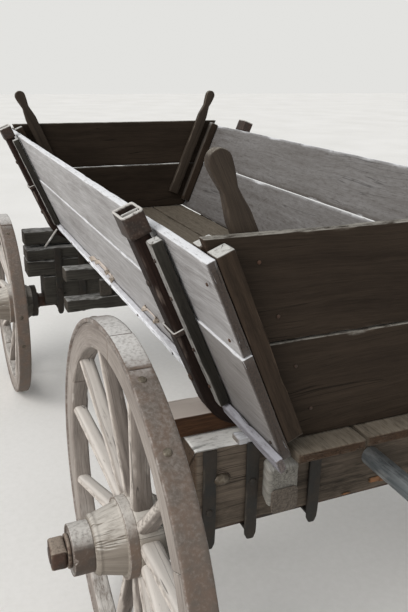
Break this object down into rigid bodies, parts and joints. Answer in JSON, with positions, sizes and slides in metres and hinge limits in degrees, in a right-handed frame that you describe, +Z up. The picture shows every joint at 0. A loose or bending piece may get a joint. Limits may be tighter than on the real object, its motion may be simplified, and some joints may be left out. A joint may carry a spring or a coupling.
{
  "type": "wooden farm hay wagon",
  "caption": "Wooden hay wagon with a V-sided plank box between leaning stakes, spoked wheels with iron tyres, a steered front axle and a hinged draught pole.",
  "frame": {"origin": "on the ground, midway between the rear wheels' rear edges and the draught pole's tip, on the wagon's centre plane", "axes": "+X forwards towards the draught pole, +Y to the wagon's left, +Z up"},
  "size_m": [5.4179, 1.589, 1.3711],
  "materials": {
    "tyre_iron": "worn wrought iron with thin brown rust",
    "wheel_wood": "weathered bare wood, silver grey with open grain",
    "nave_wood": "weathered, cracked turned wood",
    "dark_iron": "old forged iron, dark and rusty",
    "stake_iron": "forged iron sockets and hoops with bright worn rims",
    "grey_planks": "silver-grey weathered sawn planks",
    "floor_planks": "dusty taupe planks",
    "dark_planks": "almost black oiled planks",
    "stake_wood": "dark brown oiled hardwood",
    "pole_wood": "slate-grey round pole",
    "gear_timber": "dark brown axle timbers with weathered tops"
  },
  "bodies": {
    "chassis": {"rear_axle_beam": "gear_timber", "rear_hounds": "gear_timber", "reach_pole": "pole_wood", "rear_axle_bar": "dark_iron", "rear_axle_nuts": "dark_iron", "rear_axle_straps": "dark_iron", "rear_bolster": "gear_timber", "front_bolster": "gear_timber", "king_pin": "dark_iron", "floor_boards": "floor_planks", "left_lower_board": "grey_planks", "left_upper_board": "grey_planks", "right_lower_board": "grey_planks", "right_upper_board": "grey_planks", "side_cleats": "dark_planks", "side_rails": "grey_planks", "end_battens": "dark_planks", "stakes": "stake_wood", "stake_sockets": "stake_iron", "stake_hoops": "stake_iron"},
    "front_gear": {"front_axle_beam": "gear_timber", "front_axle_bar": "dark_iron", "front_axle_nuts": "dark_iron", "front_axle_straps": "dark_iron", "sand_bolster": "gear_timber", "turning_plate": "dark_iron", "front_hounds": "gear_timber", "sway_bars": "gear_timber", "pole_pin": "dark_iron"},
    "draught_pole": {"pole": "pole_wood", "pole_ferrule": "dark_iron"},
    "rear_left_wheel": {"rear_left_tyre": "tyre_iron", "rear_left_felloes": "wheel_wood", "rear_left_spokes": "wheel_wood", "rear_left_nave": "nave_wood", "rear_left_nave_bands": "dark_iron"},
    "rear_right_wheel": {"rear_right_tyre": "tyre_iron", "rear_right_felloes": "wheel_wood", "rear_right_spokes": "wheel_wood", "rear_right_nave": "nave_wood", "rear_right_nave_bands": "dark_iron"},
    "front_left_wheel": {"front_left_tyre": "tyre_iron", "front_left_felloes": "wheel_wood", "front_left_spokes": "wheel_wood", "front_left_nave": "nave_wood", "front_left_nave_bands": "dark_iron"},
    "front_right_wheel": {"front_right_tyre": "tyre_iron", "front_right_felloes": "wheel_wood", "front_right_spokes": "wheel_wood", "front_right_nave": "nave_wood", "front_right_nave_bands": "dark_iron"},
    "rear_end_board": {"rear_end_lower_plank": "dark_planks", "rear_end_upper_plank": "dark_planks", "rear_end_cleats": "dark_planks"},
    "front_end_board": {"front_end_lower_plank": "dark_planks", "front_end_upper_plank": "dark_planks", "front_end_cleats": "dark_planks"}
  },
  "joints": [
    {"name": "rear_left_spin", "type": "hinge", "parent": "chassis", "child": "rear_left_wheel", "pos_m": [-2.209, 0.626, 0.5], "axis": [0, 1, 0], "continuous": true},
    {"name": "rear_right_spin", "type": "hinge", "parent": "chassis", "child": "rear_right_wheel", "pos_m": [-2.209, -0.626, 0.5], "axis": [0, 1, 0], "continuous": true},
    {"name": "front_left_spin", "type": "hinge", "parent": "front_gear", "child": "front_left_wheel", "pos_m": [-0.299, 0.626, 0.42], "axis": [0, 1, 0], "continuous": true},
    {"name": "front_right_spin", "type": "hinge", "parent": "front_gear", "child": "front_right_wheel", "pos_m": [-0.299, -0.626, 0.42], "axis": [0, 1, 0], "continuous": true},
    {"name": "steer", "type": "hinge", "parent": "chassis", "child": "front_gear", "pos_m": [-0.299, 0, 0.6916], "axis": [0, 0, 1], "range_deg": [-25, 25]},
    {"name": "pole_lift", "type": "hinge", "parent": "front_gear", "child": "draught_pole", "pos_m": [0.111, 0, 0.59], "axis": [0, -1, 0], "range_deg": [0, 40]},
    {"name": "rear_end_lift", "type": "slide", "parent": "chassis", "child": "rear_end_board", "axis": [0, 0, 1], "range_m": [0, 0.45]},
    {"name": "front_end_lift", "type": "slide", "parent": "chassis", "child": "front_end_board", "axis": [0, 0, 1], "range_m": [0, 0.45]}
  ]
}
